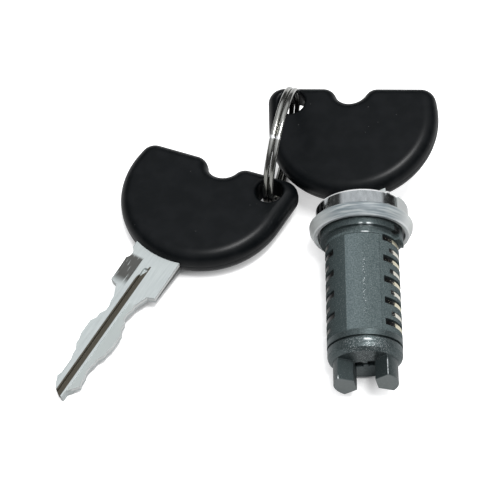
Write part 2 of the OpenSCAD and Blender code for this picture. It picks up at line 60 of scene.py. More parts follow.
ring_hole = Vector((-14.2, 35.35, 0)) * MM
spare_heading = math.radians(-30.5)
spare_rise = math.radians(4.0)
spare_climb = math.radians(3.8)
spare_turn = Euler((spare_climb, -spare_rise, spare_heading), "XYZ").to_matrix().to_4x4()
spare_frame = (Matrix.Translation(Vector(joints["spare_swing"]["pos_m"])) @ spare_turn
               @ Matrix.Rotation(math.pi, 4, "Y") @ Matrix.Translation(-ring_hole))


# The camera
# It looks down on the set from the front, 56 degrees above the floor, through a long lens.
camera_aim = lock_at + Vector((-23.53, -0.47, -2.14)) * MM
camera_distance = 0.318
camera_elevation = math.radians(56.09)
camera_azimuth = math.radians(0.33)
camera_data = bpy.data.cameras.new("camera")
camera_data.lens = 108
camera_data.clip_start = 0.01
camera = bpy.data.objects.new("camera", camera_data)
view_line = Vector((math.sin(camera_azimuth) * math.cos(camera_elevation),
                    -math.cos(camera_azimuth) * math.cos(camera_elevation),
                    math.sin(camera_elevation)))
camera.location = camera_aim + camera_distance * view_line
camera.rotation_euler = view_line.to_track_quat("Z", "Y").to_euler()
bpy.context.scene.collection.objects.link(camera)
bpy.context.scene.camera = camera
bpy.context.scene.view_settings.view_transform = "Standard"


# Tools for materials
# Each mask or colour is a socket of the material's node tree. Masks run from 0 to 1.
def finish(name, colour, roughness, metallic=0.0):
    """A material with a Principled BSDF set to plain values, and its node tree."""
    made = bpy.data.materials.new(name)
    made.use_nodes = True
    tree = made.node_tree
    shader = tree.nodes["Principled BSDF"]
    shader.inputs["Base Color"].default_value = (*colour, 1)
    shader.inputs["Roughness"].default_value = roughness
    shader.inputs["Metallic"].default_value = metallic
    return made, tree, shader


def add(tree, kind, operation=None, **values):
    """A node in the tree, with its operation and its inputs' values set."""
    node = tree.nodes.new("ShaderNode" + kind)
    if operation:
        node.operation = operation
    for key, value in values.items():
        node.inputs[key.replace("_", " ")].default_value = value
    return node


def dress(names, made):
    """Gives CAD nodes their material."""
    for name in names:
        obj = frame["nodes"][name]
        if not obj.material_slots:
            obj.data.materials.append(made)
        for slot in obj.material_slots:
            slot.material = made


def local_coordinates(tree, matrix):
    """Object coordinates turned back into a piece's own frame."""
    where = tree.nodes.new("ShaderNodeTexCoord")
    turn = tree.nodes.new("ShaderNodeMapping")
    turn.vector_type = "TEXTURE"
    turn.inputs["Location"].default_value = matrix.to_translation()
    turn.inputs["Rotation"].default_value = matrix.to_euler()
    tree.links.new(where.outputs["Object"], turn.inputs["Vector"])
    return turn.outputs[0]


def group(name, inputs, outputs):
    """An empty shader node group with float inputs and outputs, and a vector one where it is named so."""
    made = bpy.data.node_groups.new(name, "ShaderNodeTree")
    kinds = {"Vector": "NodeSocketVector"}
    for side, sockets in (("INPUT", inputs), ("OUTPUT", outputs)):
        for socket in sockets:
            made.interface.new_socket(socket, in_out=side, socket_type=kinds.get(socket, "NodeSocketFloat"))
    return made, made.nodes.new("NodeGroupInput"), made.nodes.new("NodeGroupOutput")


def maths(tree, operation, first, second=None):
    """A maths node on sockets or numbers, and its output."""
    node = tree.nodes.new("ShaderNodeMath")
    node.operation = operation
    for socket, value in zip(node.inputs, (first, second)):
        if value is None:
            continue
        if isinstance(value, (int, float)):
            socket.default_value = value
        else:
            tree.links.new(value, socket)
    return node.outputs[0]


def product(tree, *values):
    """The product of sockets or numbers."""
    result = values[0]
    for value in values[1:]:
        result = maths(tree, "MULTIPLY", result, value)
    return result


def greatest(tree, *values):
    """The greatest of sockets or numbers."""
    result = values[0]
    for value in values[1:]:
        result = maths(tree, "MAXIMUM", result, value)
    return result


def off_axis(tree, x, z):
    """Distance from the lock's axis, and the angle round it from the front line, to the right."""
    radius = maths(tree, "SQRT", maths(tree, "ADD", product(tree, x, x), product(tree, z, z)))
    return radius, maths(tree, "ARCTAN2", x, z)


def step(tree, value, low, high, to_low=0.0, to_high=1.0):
    """A smooth step from to_low at low to to_high at high."""
    node = tree.nodes.new("ShaderNodeMapRange")
    node.interpolation_type = "SMOOTHSTEP"
    flipped = low > high
    node.inputs["From Min"].default_value = high if flipped else low
    node.inputs["From Max"].default_value = low if flipped else high
    node.inputs["To Min"].default_value = to_high if flipped else to_low
    node.inputs["To Max"].default_value = to_low if flipped else to_high
    tree.links.new(value, node.inputs["Value"])
    return node.outputs["Result"]


def band(tree, value, low, high, soft):
    """1 between low and high, 0 outside, with soft edges."""
    return product(tree, step(tree, value, low - soft, low + soft),
                   step(tree, value, high + soft, high - soft))


def parts_of(tree, vector):
    """x, y and z of a vector."""
    node = tree.nodes.new("ShaderNodeSeparateXYZ")
    tree.links.new(vector, node.inputs[0])
    return node.outputs[0], node.outputs[1], node.outputs[2]


def mixed(tree, factor, low, high):
    """Colour between two colours or colour sockets with a factor."""
    node = tree.nodes.new("ShaderNodeMix")
    node.data_type = "RGBA"
    for socket, value in ((node.inputs[6], low), (node.inputs[7], high)):
        if isinstance(value, tuple):
            socket.default_value = (*value, 1)
        else:
            tree.links.new(value, socket)
    tree.links.new(factor, node.inputs[0])
    return node.outputs[2]


# Grain: fine pits and swells of a cast or moulded surface, as a height, and as a soft mottle
grain, grain_in, grain_out = group("grain", ["Vector", "Scale"], ["Height", "Mottle"])
fine = add(grain, "TexNoise", Detail=3.0, Roughness=0.6)
broad = add(grain, "TexNoise", Detail=2.0)
broad_scale = product(grain, grain_in.outputs["Scale"], 0.12)
grain.links.new(grain_in.outputs["Vector"], fine.inputs["Vector"])
grain.links.new(grain_in.outputs["Scale"], fine.inputs["Scale"])
grain.links.new(grain_in.outputs["Vector"], broad.inputs["Vector"])
grain.links.new(broad_scale, broad.inputs["Scale"])
grain.links.new(fine.outputs["Fac"], grain_out.inputs["Height"])
grain.links.new(broad.outputs["Fac"], grain_out.inputs["Mottle"])


def grainy(tree, shader, vector, scale, depth, edge_round=0.0):
    """Puts the grain on a material as bump, over edges rounded by edge_round, and returns its mottle."""
    node = tree.nodes.new("ShaderNodeGroup")
    node.node_tree = grain
    node.inputs["Scale"].default_value = scale
    bump = add(tree, "Bump", Strength=1.0, Distance=depth)
    tree.links.new(vector, node.inputs["Vector"])
    tree.links.new(node.outputs["Height"], bump.inputs["Height"])
    if edge_round:
        bevel = add(tree, "Bevel", Radius=edge_round)
        bevel.samples = 6
        tree.links.new(bevel.outputs["Normal"], bump.inputs["Normal"])
    tree.links.new(bump.outputs["Normal"], shader.inputs["Normal"])
    return node.outputs["Mottle"]


# Scatter: small bright spots, one at most in each cell, as a mask
scatter, scatter_in, scatter_out = group("scatter", ["Vector", "Scale", "Size"], ["Spots"])
cells = scatter.nodes.new("ShaderNodeTexVoronoi")
cells.feature = "F1"
scatter.links.new(scatter_in.outputs["Vector"], cells.inputs["Vector"])
scatter.links.new(scatter_in.outputs["Scale"], cells.inputs["Scale"])
near = maths(scatter, "LESS_THAN", cells.outputs["Distance"], scatter_in.outputs["Size"])
scatter.links.new(near, scatter_out.inputs["Spots"])


def spots(tree, vector, scale, size):
    """The scatter's mask on a material."""
    node = tree.nodes.new("ShaderNodeGroup")
    node.node_tree = scatter
    node.inputs["Scale"].default_value = scale
    node.inputs["Size"].default_value = size
    tree.links.new(vector, node.inputs["Vector"])
    return node.outputs[0]


# The light
# A lamp overhead, a little to the right, gives the glow along the bows' lower rims and the glints on the
# plug's edges. The room is pale above and dark near the floor.
lamp_place = Vector((0.12, -0.10, 0.75))
lamp_data = bpy.data.lights.new("overhead", "AREA")
lamp_data.shape = "RECTANGLE"
lamp_data.size, lamp_data.size_y = 0.30, 0.10
lamp_data.energy = 6.0
lamp = bpy.data.objects.new("overhead", lamp_data)
lamp.location = lamp_place
lamp.rotation_euler = (lamp_place - camera_aim).to_track_quat("Z", "Y").to_euler()
bpy.context.scene.collection.objects.link(lamp)

# Heights as parts of a sphere's radius, with the room's colour there
room_dark = (0.02, (0.07, 0.07, 0.07, 1))
room_middle = (0.49, (0.09, 0.09, 0.09, 1))
room_pale = (0.60, (0.95, 0.97, 1.0, 1))
world = bpy.data.worlds.new("room")
bpy.context.scene.world = world
world.use_nodes = True
room = world.node_tree
room.nodes.clear()
room_out = add(room, "OutputWorld")
room_mix = add(room, "MixShader")
room_seen = add(room, "Background", Color=(1, 1, 1, 1))
room_lit = add(room, "Background", Strength=0.75)
room_height = parts_of(room, add(room, "TexCoord").outputs["Generated"])[2]
room_band = add(room, "ValToRGB")
room_stops = room_band.color_ramp.elements
room_stops[0].position, room_stops[0].color = room_dark
room_stops[1].position, room_stops[1].color = room_pale
room_stops.new(room_middle[0]).color = room_middle[1]
room.links.new(room_height, room_band.inputs["Fac"])
room.links.new(room_band.outputs["Color"], room_lit.inputs["Color"])
room.links.new(add(room, "LightPath").outputs["Is Camera Ray"], room_mix.inputs["Fac"])
room.links.new(room_lit.outputs[0], room_mix.inputs[1])
room.links.new(room_seen.outputs[0], room_mix.inputs[2])
room.links.new(room_mix.outputs[0], room_out.inputs["Surface"])


# The floor
# White paper under the set. To the camera it adds its own glow to the light that falls on it, so that it is
# white and still takes the soft shadows, and its glow is cut where a piece lies close above, as painted shade.
floor_half = 1.5
glow_level = 0.82
cover_reach = 12 * MM
cover_full, cover_none = 0.15, 0.62
floor_mesh = bpy.data.meshes.new("floor")
corners = [(-floor_half, -floor_half, 0), (floor_half, -floor_half, 0),
           (floor_half, floor_half, 0), (-floor_half, floor_half, 0)]
floor_mesh.from_pydata(corners, [], [(0, 1, 2, 3)])
floor = bpy.data.objects.new("floor", floor_mesh)
bpy.context.scene.collection.objects.link(floor)
paper = bpy.data.materials.new("white_paper")
paper.use_nodes = True
paper_tree = paper.node_tree
paper_tree.nodes.clear()
paper_out = add(paper_tree, "OutputMaterial")
paper_both = add(paper_tree, "AddShader")
paper_diffuse = add(paper_tree, "BsdfDiffuse", Color=(0.62, 0.62, 0.62, 1))
paper_glow = add(paper_tree, "Emission")
# Painted shade: the glow drops where the paper is occluded from above
paper_painted_shade = add(paper_tree, "AmbientOcclusion", Distance=cover_reach)
paper_painted_shade.samples = 24
paper_unshaded = add(paper_tree, "MapRange", From_Min=cover_full, From_Max=cover_none)
paper_tree.links.new(paper_painted_shade.outputs["AO"], paper_unshaded.inputs["Value"])
paper_seen = add(paper_tree, "LightPath").outputs["Is Camera Ray"]
paper_level = product(paper_tree, paper_unshaded.outputs["Result"], paper_seen, glow_level)
paper_tree.links.new(paper_level, paper_glow.inputs["Strength"])
paper_tree.links.new(paper_diffuse.outputs[0], paper_both.inputs[0])
paper_tree.links.new(paper_glow.outputs[0], paper_both.inputs[1])
paper_tree.links.new(paper_both.outputs[0], paper_out.inputs["Surface"])
floor_mesh.materials.append(paper)


# The plug
# One zinc die casting, dipped dark and left satin. Its shallow front panel carries a painted sheen, its left
# side painted shade, and its edges painted glints in places. The masks' angles are in degrees off the front
# line, and their places are in mm along the lock.
panel_left, panel_right = -19, 36
panel_back, panel_front = -23.1, -1.5
body_back = -23.2
flank_back, flank_front = -32.1 * MM, -27.8 * MM
edge_soft = 0.05 * MM

zinc, zinc_tree, zinc_shader = finish("cast_zinc", (0.12, 0.15, 0.165), 0.50, 0.60)
zinc_where = local_coordinates(zinc_tree, lock_frame)
zinc_x, zinc_y, zinc_z = parts_of(zinc_tree, zinc_where)
zinc_mottle = grainy(zinc_tree, zinc_shader, zinc_where, 3500.0, 0.000012, 0.00015)
zinc_radius, zinc_angle = off_axis(zinc_tree, zinc_x, zinc_z)
zinc_noise = add(zinc_tree, "TexNoise", Scale=3300.0, Detail=3.0)
zinc_tree.links.new(zinc_where, zinc_noise.inputs["Vector"])
zinc_cloud = zinc_noise.outputs["Fac"]


def zinc_patch(start, end, from_y, to_y, soft_angle=0.01, soft_y=0.0001):
    """Mask on the plug between two angles off the front line in degrees and two places along it in mm."""
    return product(zinc_tree, band(zinc_tree, zinc_angle, math.radians(start), math.radians(end), soft_angle),
                   band(zinc_tree, zinc_y, from_y * MM, to_y * MM, soft_y))


# The casting's own tone, with painted shade left of the panel and a painted sheen on the panel, fading to its
# right
zinc_speckle = step(zinc_tree, zinc_cloud, 0.30, 0.70)
zinc_colour = mixed(zinc_tree, zinc_speckle, (0.046, 0.062, 0.063), (0.084, 0.106, 0.108))
zinc_left_shade = product(zinc_tree, zinc_patch(-100, panel_left, body_back, panel_front, 0.004), 0.62)
zinc_colour = mixed(zinc_tree, zinc_left_shade, zinc_colour, (0.026, 0.036, 0.037))
zinc_sheen_fade = step(zinc_tree, zinc_angle, math.radians(-12), math.radians(22), 0.78, 0.15)
zinc_panel_sheen = product(zinc_tree, zinc_sheen_fade,
                     zinc_patch(panel_left, panel_right, panel_back, panel_front, 0.004))
zinc_sheen_colour = mixed(zinc_tree, zinc_speckle, (0.080, 0.105, 0.110), (0.140, 0.172, 0.177))
zinc_colour = mixed(zinc_tree, zinc_panel_sheen, zinc_colour, zinc_sheen_colour)

# The prongs' flanks are darker, their end faces carry a painted reflection of the floor, and the gap beside the
# stop lug carries painted shade
zinc_flanks = product(zinc_tree, step(zinc_tree, zinc_y, flank_front + edge_soft, flank_front - edge_soft),
                      step(zinc_tree, zinc_y, flank_back - edge_soft, flank_back + edge_soft), 0.75)
zinc_colour = mixed(zinc_tree, zinc_flanks, zinc_colour, (0.035, 0.047, 0.048))
zinc_end_reflection = product(zinc_tree, step(zinc_tree, zinc_y, flank_back + edge_soft, flank_back - edge_soft), 0.5)
zinc_colour = mixed(zinc_tree, zinc_end_reflection, zinc_colour, (0.17, 0.19, 0.185))
zinc_gap_shade = product(zinc_tree, zinc_patch(60, 76, -0.1, 1.3), 0.9)
zinc_colour = mixed(zinc_tree, zinc_gap_shade, zinc_colour, (0.01, 0.01, 0.01))

# Painted highlights: specks down the front line, broken glints on the collar, the panel's end and the drum,
# the prongs' ridges, and a fine sparkle all over
glint_places = ((6, 26, 0.0, 0.35, 0.06), (8, 19, -1.45, -1.2, 0.04), (7, 23, -25.7, -25.35, 0.05))
ridge_places = ((48.6, 50.6, -32.0, -28.6, 0.01, 0.0003), (-51.0, -48.0, -32.2, -31.6, 0.01, 0.0002))
highlight_speck_place = (8, 12, -19, -7, 0.02, 0.002)
tail_place = (-25, 50, -28, -25, 0.2, 0.0004)
ridge_inner, ridge_outer = 6.35 * MM, 6.5 * MM
zinc_highlight_specks = product(zinc_tree, spots(zinc_tree, zinc_where, 3600.0, 0.20), zinc_patch(*highlight_speck_place))
zinc_glint = greatest(zinc_tree, *(zinc_patch(*place) for place in glint_places))
zinc_glint = product(zinc_tree, zinc_glint, step(zinc_tree, zinc_mottle, 0.40, 0.56), 0.6)
zinc_ridge_glint = greatest(zinc_tree, *(zinc_patch(*place) for place in ridge_places))
zinc_ridge_glint = product(zinc_tree, zinc_ridge_glint, step(zinc_tree, zinc_radius, ridge_inner, ridge_outer),
                     step(zinc_tree, zinc_cloud, 0.35, 0.5, 0.3, 0.8))
zinc_tail_sparkle = product(zinc_tree, spots(zinc_tree, zinc_where, 4200.0, 0.25), zinc_patch(*tail_place), 0.45)
zinc_sparkle = product(zinc_tree, spots(zinc_tree, zinc_where, 5200.0, 0.14), 0.30)
zinc_highlights = greatest(zinc_tree, zinc_ridge_glint, zinc_highlight_specks, zinc_glint, zinc_sparkle, zinc_tail_sparkle)
zinc_colour = mixed(zinc_tree, zinc_highlights, zinc_colour, (0.92, 0.97, 0.98))
zinc_tree.links.new(zinc_colour, zinc_shader.inputs["Base Color"])

# The body's dip coat is duller than the bare ends
zinc_dull = product(zinc_tree, zinc_patch(-90, 90, body_back, -0.9, 0.05), 0.62)
zinc_tree.links.new(maths(zinc_tree, "SUBTRACT", 0.66, zinc_dull), zinc_shader.inputs["Metallic"])
zinc_tree.links.new(maths(zinc_tree, "ADD", 0.42, product(zinc_tree, zinc_dull, 0.5)),
                    zinc_shader.inputs["Roughness"])
zinc_tree.links.new(maths(zinc_tree, "SUBTRACT", 0.5, product(zinc_tree, zinc_dull, 0.65)),
                    zinc_shader.inputs["Specular IOR Level"])
dress(["plug"], zinc)


# The face cap
# A cup pressed from thin steel and chromed to a mirror, staked under the flange at four places, with faint
# streaks from polishing, painted dark reflections on its sides and a painted highlight round its face.
chrome, chrome_tree, chrome_shader = finish("chrome", (0.62, 0.64, 0.66), 0.09, 1.0)
chrome_where = local_coordinates(chrome_tree, lock_frame)
chrome_x, chrome_y, chrome_z = parts_of(chrome_tree, chrome_where)
chrome_angle = maths(chrome_tree, "ARCTAN2", chrome_x, chrome_z)
chrome_point = add(chrome_tree, "CombineXYZ")
chrome_tree.links.new(product(chrome_tree, chrome_angle, 9.0), chrome_point.inputs[0])
chrome_tree.links.new(product(chrome_tree, chrome_y, 350.0), chrome_point.inputs[1])
chrome_noise = add(chrome_tree, "TexNoise", Scale=1.0, Detail=4.0, Roughness=0.6)
chrome_tree.links.new(chrome_point.outputs[0], chrome_noise.inputs["Vector"])
chrome_streaks = chrome_noise.outputs["Fac"]
chrome_colour = mixed(chrome_tree, chrome_streaks, (0.34, 0.36, 0.37), (0.74, 0.77, 0.77))
# Painted dark reflections on the cap's sides
chrome_off = maths(chrome_tree, "ABSOLUTE", chrome_angle)
chrome_side_reflection = product(chrome_tree, step(chrome_tree, chrome_off, math.radians(36), math.radians(50)), 0.8)
chrome_colour = mixed(chrome_tree, chrome_side_reflection, chrome_colour, (0.27, 0.28, 0.275))
# Painted highlight round the face's edge
chrome_edge_highlight = step(chrome_tree, chrome_y, 7.3 * MM, 7.5 * MM)
chrome_colour = mixed(chrome_tree, product(chrome_tree, chrome_edge_highlight, 0.8), chrome_colour, (1.0, 1.0, 1.0))
chrome_tree.links.new(chrome_colour, chrome_shader.inputs["Base Color"])
chrome_rough = step(chrome_tree, chrome_streaks, 0.35, 0.65, 0.05, 0.22)
chrome_tree.links.new(chrome_rough, chrome_shader.inputs["Roughness"])
chrome_tree.links.new(maths(chrome_tree, "SUBTRACT", 1.0, product(chrome_tree, chrome_edge_highlight, 0.5)),
                      chrome_shader.inputs["Metallic"])
dress(["face_cap"], chrome)


# The seal ring
# A pale translucent rubber ring on the collar, with a skirt that flares and then tapers to its lip. It is
# greyer over the collar and clouded unevenly.
rubber, rubber_tree, rubber_shader = finish("seal_rubber", (0.40, 0.44, 0.45), 0.33)
rubber_shader.inputs["Subsurface Weight"].default_value = 0.30
rubber_shader.inputs["Subsurface Radius"].default_value = (0.9, 1.0, 1.0)
rubber_shader.inputs["Subsurface Scale"].default_value = 0.0012
rubber_where = local_coordinates(rubber_tree, lock_frame)
rubber_x, rubber_y, rubber_z = parts_of(rubber_tree, rubber_where)
rubber_angle = maths(rubber_tree, "ARCTAN2", rubber_x, rubber_z)
rubber_cloud = grainy(rubber_tree, rubber_shader, rubber_where, 900.0, 0.00003)
rubber_colour = mixed(rubber_tree, step(rubber_tree, rubber_cloud, 0.35, 0.68),
                      (0.50, 0.52, 0.51), (0.62, 0.64, 0.63))

# Grey streaks round the front of the skirt
rubber_round = add(rubber_tree, "CombineXYZ")
rubber_tree.links.new(product(rubber_tree, rubber_angle, 2.0), rubber_round.inputs[0])
rubber_tree.links.new(product(rubber_tree, rubber_y, 2600.0), rubber_round.inputs[1])
rubber_streaks = add(rubber_tree, "TexNoise", Scale=1.0, Detail=3.0)
rubber_tree.links.new(rubber_round.outputs[0], rubber_streaks.inputs["Vector"])
rubber_front = band(rubber_tree, rubber_angle, math.radians(-38), math.radians(62), 0.45)
rubber_grey = product(rubber_tree, rubber_front, band(rubber_tree, rubber_y, 0.9 * MM, 4.3 * MM, 0.0002),
                      step(rubber_tree, rubber_streaks.outputs["Fac"], 0.30, 0.62, 0.5, 1.0))
rubber_colour = mixed(rubber_tree, rubber_grey, rubber_colour, (0.145, 0.175, 0.19))

# The lip and the top edge are whitish, most at the sides, and the tab is greyer
rubber_rim = greatest(rubber_tree, step(rubber_tree, rubber_y, 1.65 * MM, 1.45 * MM),
                      step(rubber_tree, rubber_y, 4.2 * MM, 4.4 * MM))
rubber_side = maths(rubber_tree, "SUBTRACT", 0.6, product(rubber_tree, rubber_front, 0.42))
rubber_colour = mixed(rubber_tree, product(rubber_tree, rubber_rim, rubber_side), rubber_colour,
                      (0.74, 0.76, 0.76))
rubber_tab = product(rubber_tree, step(rubber_tree, rubber_y, 4.4 * MM, 4.6 * MM),
                     step(rubber_tree, rubber_angle, math.radians(50), math.radians(56)), 0.75)
rubber_colour = mixed(rubber_tree, rubber_tab, rubber_colour, (0.27, 0.285, 0.28))
rubber_tree.links.new(rubber_colour, rubber_shader.inputs["Base Color"])
dress(["seal_ring"], rubber)


# The wafers and their springs
# Plates stamped from brass, the ones that spring to the other side nickel-plated, with springs of fine wire.
# Their ends near the surface, low on the right side and in dots, keep their colour, and the rest is near black.
def stamped(name, colour):
    """Stamped sheet, in its colour at its ends and near black elsewhere."""
    made, tree, shader = finish(name, colour, 0.34, 0.85)
    where = local_coordinates(tree, lock_frame)
    x, y, z = parts_of(tree, where)
    radius = off_axis(tree, x, z)[0]
    ragged = add(tree, "TexNoise", Scale=2200.0, Detail=2.0)
    tree.links.new(where, ragged.inputs["Vector"])
    height = maths(tree, "ADD", z, product(tree, ragged.outputs["Fac"], 1.6 * MM))
    dots = product(tree, spots(tree, where, 3000.0, 0.16), step(tree, z, 5.5 * MM, 5.2 * MM))
    end_mask = product(tree, greatest(tree, step(tree, height, 4.4 * MM, 4.1 * MM), dots),
                   step(tree, radius, 7.0 * MM, 7.45 * MM), step(tree, x, 0.0, 1.0 * MM, 0.10, 1.0))
    tree.links.new(mixed(tree, end_mask, (0.012, 0.012, 0.012), colour), shader.inputs["Base Color"])
    return made


brass = stamped("wafer_brass", (0.70, 0.66, 0.50))
nickel = stamped("wafer_nickel", (0.72, 0.70, 0.62))
spring_steel = finish("spring_wire", (0.02, 0.02, 0.02), 0.45, 0.9)[0]
dress([f"wafer_{k}" for k in (1, 3, 5, 7, 9)], brass)
dress([f"wafer_{k}" for k in (2, 4, 6, 8)], nickel)
dress([f"wafer_spring_{k}" for k in range(1, 10)], spring_steel)


# The key blades
# Blanks of nickel-plated brass. The middle groove and the deep ward carry painted shade, the cut walls a
# painted reflection, and the faces and wards carry fine lines along the blade from the cutter.
# Each pair is a mask's soft edge: across the blade from its middle line, in depth from its middle plane, or
# along it.
shallow_across = (-1.25 * MM, -1.40 * MM)
shallow_depth = (1.06 * MM, 0.95 * MM)
deep_across = (1.75 * MM, 1.9 * MM)
deep_depth = (1.07 * MM, 0.95 * MM)
deep_along = (1.2 * MM, 3.6 * MM)
groove_near = 0.86 * MM
groove_far = (-0.82 * MM, -0.72 * MM)
groove_taper = (4.0 * MM, 8.0 * MM)
groove_end = (7.95 * MM, 7.75 * MM)
wall_depth = (0.82 * MM, 0.72 * MM)
wall_across = (-1.5 * MM, -2.0 * MM)


def key_finish(name, matrix):
    """Plated blade in the frame that a matrix gives, with its wards, painted shade in its groove and deep ward,
    and a painted reflection on its cut walls.
    """
    made, tree, shader = finish(name, (0.55, 0.58, 0.59), 0.45, 0.40)
    where = local_coordinates(tree, matrix)
    x, y, z = parts_of(tree, where)
    depth = maths(tree, "ABSOLUTE", z)
    # The back face is the front one turned about the blade's line, so far leads to the deep ward on both
    far = product(tree, x, maths(tree, "SIGN", z), -1.0)
    stretched = add(tree, "Mapping")
    stretched.inputs["Scale"].default_value = (1.0, 0.06, 1.0)
    tree.links.new(where, stretched.inputs["Vector"])
    drawn = add(tree, "TexNoise", Scale=3500.0, Detail=3.0)
    tree.links.new(stretched.outputs[0], drawn.inputs["Vector"])
    lines = drawn.outputs["Fac"]
    cloud = grainy(tree, shader, where, 2500.0, 0.000008, 0.0001)
    colour = mixed(tree, step(tree, lines, 0.25, 0.75), (0.41, 0.445, 0.445), (0.475, 0.51, 0.505))
    colour = mixed(tree, step(tree, cloud, 0.45, 0.75, 0.0, 0.30), colour, (0.42, 0.45, 0.44))
    shallow_ward = product(tree, step(tree, far, *shallow_across), step(tree, depth, *shallow_depth), 0.7)
    colour = mixed(tree, shallow_ward, colour, (0.36, 0.39, 0.38))
    # Painted shade in the deep ward, broken by the cutter's lines
    deep_ward_shade = product(tree, step(tree, far, *deep_across), step(tree, depth, *deep_depth),
                        step(tree, y, *deep_along), step(tree, lines, 0.60, 0.72, 1.0, 0.25), 0.92)
    colour = mixed(tree, deep_ward_shade, colour, (0.040, 0.038, 0.033))
    # The groove's painted shade comes to a point on the near side of its end
    point = product(tree, step(tree, y, *groove_taper, 0.0, 1.3), 1.0 * MM)
    beyond = maths(tree, "SUBTRACT", maths(tree, "SUBTRACT", groove_near, point), far)
    groove = product(tree, step(tree, beyond, -0.04 * MM, 0.04 * MM), step(tree, far, *groove_far),
                     step(tree, y, *groove_end))
    colour = mixed(tree, groove, colour, (0.062, 0.055, 0.040))
    # Painted reflection: the cut walls are paler and less metallic
    walls = product(tree, step(tree, depth, *wall_depth), step(tree, far, *wall_across))
    colour = mixed(tree, walls, colour, (0.60, 0.61, 0.60))
    tree.links.new(colour, shader.inputs["Base Color"])
    tree.links.new(maths(tree, "SUBTRACT", 0.40, product(tree, walls, 0.3)), shader.inputs["Metallic"])
    return made


dress(["key_blade"], key_finish("key_metal", lock_frame))
dress(["spare_key_blade"], key_finish("spare_key_metal", spare_frame))


# The bows
# Black plastic moulded round the blade's tang, with a soft rounded rim, a parting line round its middle and a
# round-lipped hole for the ring. Both bows come from one mould.
bow_thick = 7.0 * MM
bow_radius = 18.7 * MM
corner_radius = 3.5 * MM
corner_hole = Vector((-15.4, 7.2)) * MM
corner_far = Vector((15.0, 2.8)) * MM
notch_middle = Vector((0, 8.4)) * MM
notch_radius = 3.7 * MM
notch_shoulder = 3.1 * MM
rim_radius = 3.0 * MM
hole_radius = 2.95 * MM
hole_lip = 0.8 * MM
parting_bead = 0.04 * MM
disc_steps, corner_steps, shoulder_steps, notch_steps = 150, 24, 12, 28
rim_steps, lip_steps, lip_sides = 14, 8, 64
shank_half, shank_front = 5.62 * MM, 9.0 * MM
tang_half, tang_step, tang_end = 4.52 * MM, 13.87 * MM, 23.87 * MM
tang_depth = 1.12 * MM


def arc(middle, radius, start, end, steps):
    """Points of an arc, without its last one."""
    turns = [start + (end - start) * i / steps for i in range(steps)]
    return [middle + radius * Vector((math.cos(a), math.sin(a))) for a in turns]


def heading(way):
    """The angle of a direction in the plane."""
    return math.atan2(way.y, way.x)


def bow_outline(inset):
    """The bow's outline about its middle, drawn in by inset, in arcs that meet tangentially."""
    def touching(corner, side):
        return heading(corner) + side * math.acos((bow_radius - corner_radius) / corner.length)

    top = heading(corner_hole - corner_far) - math.pi / 2
    up = Vector((math.cos(top), math.sin(top)))
    along = Vector((up.y, -up.x))
    over = (notch_middle - corner_far).dot(up) - corner_radius
    reach = math.sqrt((notch_radius + notch_shoulder) ** 2 - (over + notch_shoulder) ** 2)
    foot = notch_middle - (over + notch_shoulder) * up
    far = foot + reach * along
    near_hole = foot - reach * along
    middle = Vector((0, 0))
    turn = 2 * math.pi
    corner = corner_radius - inset
    shoulder = notch_shoulder - inset
    first, last = touching(corner_hole, 1), turn + touching(corner_far, -1)
    return (arc(middle, bow_radius - inset, first, last, disc_steps)
            + arc(corner_far, corner, touching(corner_far, -1), top, corner_steps)
            + [corner_far + corner * up]
            + arc(far, shoulder, top, heading(notch_middle - far), shoulder_steps)
            + arc(notch_middle, notch_radius + inset, heading(far - notch_middle),
                  heading(near_hole - notch_middle), notch_steps)
            + arc(near_hole, shoulder, heading(notch_middle - near_hole), top, shoulder_steps)
            + [near_hole + shoulder * up]
            + arc(corner_hole, corner, top, touching(corner_hole, 1), corner_steps))


def lofted(rings):
    """A closed mesh through rings of equal length, with flat ends."""
    shape = bmesh.new()
    loops = [[shape.verts.new(point) for point in ring] for ring in rings]
    count = len(loops[0])
    for low, high in zip(loops, loops[1:]):
        for i in range(count):
            j = (i + 1) % count
            shape.faces.new((low[i], low[j], high[j], high[i]))
    shape.faces.new(list(reversed(loops[0])))
    shape.faces.new(loops[-1])
    bmesh.ops.recalc_face_normals(shape, faces=shape.faces)
    mesh = bpy.data.meshes.new("shape")
    shape.to_mesh(mesh)
    shape.free()
    return bpy.data.objects.new("shape", mesh)


def bow_levels():
    """(inset, height) up the bow's side from the back face to the front one."""
    straight = bow_thick / 2 - rim_radius
    half = [(0.0, straight)]
    for i in range(1, rim_steps + 1):
        a = math.pi / 2 * i / rim_steps
        half.append((rim_radius * (1 - math.cos(a)), straight + rim_radius * math.sin(a)))
    middle = [(0.0, 2 * parting_bead), (-parting_bead, parting_bead)]
    upper = list(reversed(middle)) + half
    return [(inset, -height) for inset, height in reversed(upper)] + upper


def cut_by(obj, cutter):
    """Cuts one shape out of another and deletes the cutter."""
    bpy.context.scene.collection.objects.link(cutter)
    cut = obj.modifiers.new("cut", "BOOLEAN")
    cut.operation = "DIFFERENCE"
    cut.solver = "EXACT"
    cut.object = cutter
    bpy.context.view_layer.update()
    evaluated = obj.evaluated_get(bpy.context.evaluated_depsgraph_get())
    mesh = bpy.data.meshes.new_from_object(evaluated)
    obj.modifiers.remove(cut)
    obj.data = mesh
    bpy.data.objects.remove(cutter)


